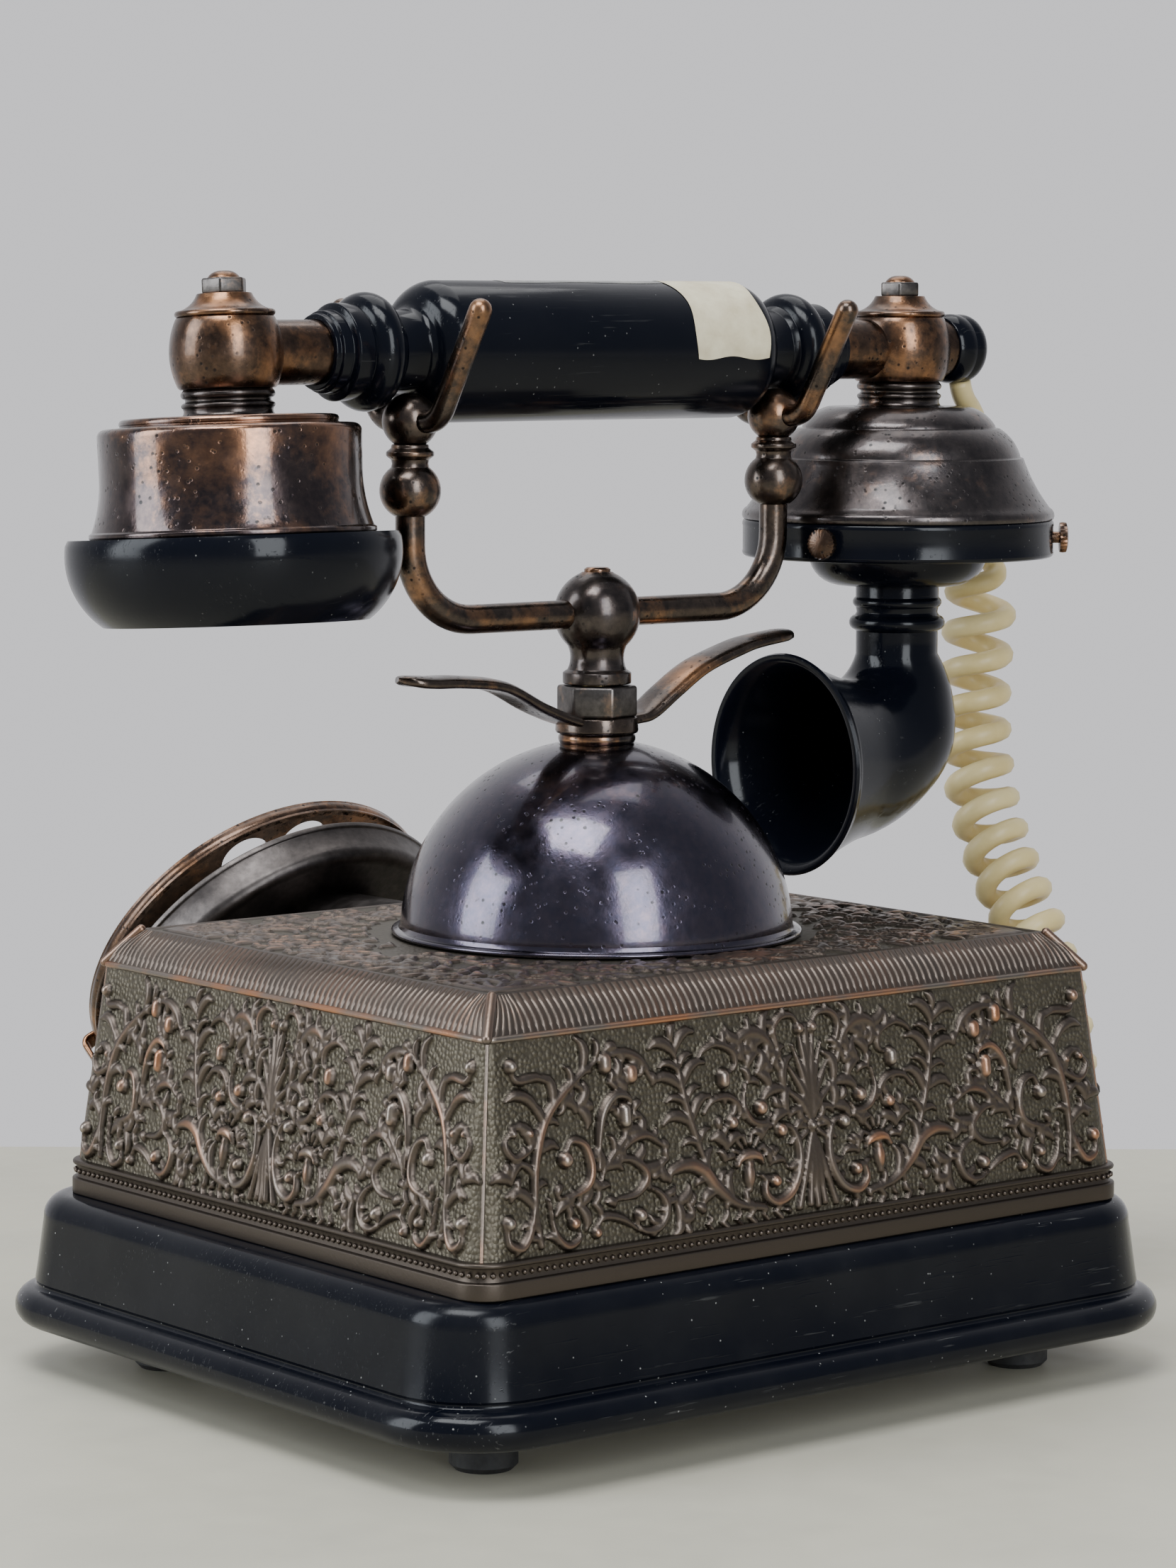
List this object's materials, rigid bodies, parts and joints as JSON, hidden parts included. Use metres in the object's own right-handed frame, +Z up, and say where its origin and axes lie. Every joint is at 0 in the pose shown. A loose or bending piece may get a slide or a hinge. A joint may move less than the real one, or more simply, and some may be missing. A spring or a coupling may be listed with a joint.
{
  "type": "french style cradle telephone",
  "caption": "Desk telephone with an embossed case on a black plinth, a dome, a cradle with two forks, a lift-off handset with a horn, a finger dial and a curly cord.",
  "frame": {"origin": "middle of the object's box at the floor, cord left out", "axes": "+Z up, the dial faces -Y, the earpiece is at +X and the mouthpiece at -X"},
  "size_m": [0.2335, 0.209, 0.2082],
  "materials": {
    "plinth_black": "polished black moulding with dust and fine scratches",
    "gloss_black": "polished black moulding with dust and fine scratches",
    "case_copper": "antique copper plating, dark in the recesses and worn bright on the relief",
    "dome_copper": "dark polished copper plating with pits",
    "copper_brown": "aged copper plating with warm rubbed edges",
    "cup_copper": "aged copper plating, smooth, dark brown",
    "brass_inner": "plain brass",
    "steel_plate": "zinc plated sheet steel",
    "screw_steel": "plain steel",
    "spring_steel": "spring steel",
    "coil_winding": "varnished copper winding",
    "capsule_metal": "bare aluminium",
    "bakelite": "brown insulating board",
    "board": "brown laminate board",
    "enamel_white": "white enamel",
    "cord_ivory": "ivory vinyl, semi gloss",
    "foot_rubber": "black rubber"
  },
  "bodies": {
    "base": {"plinth": "plinth_black", "base_plate": "steel_plate", "rubber_feet": "foot_rubber", "case_pillars": "steel_plate", "case_screws": "screw_steel", "case_cover": "case_copper", "dome": "dome_copper", "dome_collar": "copper_brown", "post_bushing": "brass_inner", "wing_plate": "copper_brown", "lock_nut": "copper_brown", "hook_bracket": "steel_plate", "hook_spring": "spring_steel", "contact_stack": "bakelite", "handset_cord_grommet": "foot_rubber", "line_cord_inlet": "foot_rubber", "number_plate": "enamel_white", "dial_frame": "steel_plate", "dial_cup": "copper_brown", "dial_neck": "copper_brown", "finger_stop": "copper_brown", "ringer_frame": "steel_plate", "ringer_coils": "coil_winding", "gongs": "brass_inner", "network_board": "board", "curly_cord": "cord_ivory", "cord_lead_base": "cord_ivory"},
    "cradle": {"plunger_post": "brass_inner", "hub_ball": "copper_brown", "hub_screw": "copper_brown", "yoke_bar": "copper_brown", "arm_finials": "copper_brown", "ear_side_fork": "copper_brown", "mouth_side_fork": "copper_brown"},
    "hook_lever": {"hook_lever": "brass_inner"},
    "handset": {"grip_upper_half": "gloss_black", "grip_lower_half": "gloss_black", "handset_tube": "copper_brown", "ear_fitting": "copper_brown", "mouth_fitting": "copper_brown", "fitting_washers": "copper_brown", "fitting_nuts": "copper_brown", "fitting_bolts": "copper_brown", "fitting_necks": "copper_brown", "ear_cup": "cup_copper", "ear_cap": "gloss_black", "receiver_capsule": "capsule_metal", "mouth_bell": "cup_copper", "mouth_ring": "gloss_black", "thumb_screws": "copper_brown", "mouth_dish": "gloss_black", "transmitter_capsule": "capsule_metal", "horn": "gloss_black", "tube_end_cap": "gloss_black", "cord_lead_top": "cord_ivory"},
    "finger_wheel": {"finger_wheel": "copper_brown", "centre_cap": "copper_brown", "dial_gear": "brass_inner"},
    "governor": {"governor": "brass_inner"},
    "clapper": {"clapper": "spring_steel"}
  },
  "joints": [
    {"name": "cradle_lift", "type": "slide", "parent": "base", "child": "cradle", "axis": [0, 0, 1], "range_m": [0, 0.004], "stiffness_N_per_m": 200, "springref_m": 0.0145},
    {"name": "hook_lever_turn", "type": "hinge", "parent": "base", "child": "hook_lever", "pos_m": [0.01448, 0.03796, 0.061], "axis": [0, 1, 0], "range_deg": [0, 17.5]},
    {"name": "handset_lift", "type": "slide", "parent": "cradle", "child": "handset", "axis": [0, 0, 1], "range_m": [0, 0.1], "deforming": ["curly_cord"]},
    {"name": "finger_wheel_turn", "type": "hinge", "parent": "base", "child": "finger_wheel", "pos_m": [0.00048, -0.08214, 0.0692], "axis": [0, 0.8192, -0.5736], "range_deg": [0, 325], "stiffness_Nm_per_rad": 0.02, "springref_deg": -57.3},
    {"name": "governor_turn", "type": "hinge", "parent": "base", "child": "governor", "pos_m": [0.02598, -0.08214, 0.0692], "axis": [0, 0.8192, -0.5736], "range_deg": [-1400, 0]},
    {"name": "clapper_swing", "type": "hinge", "parent": "base", "child": "clapper", "pos_m": [-0.03152, 0.02996, 0.0405], "axis": [1, 0, 0], "range_deg": [-4, 4]}
  ],
  "couplings": [
    {"joint": "hook_lever_turn", "follows": "cradle_lift", "rad_per_m": 75},
    {"joint": "governor_turn", "follows": "finger_wheel_turn", "ratio": -4}
  ]
}
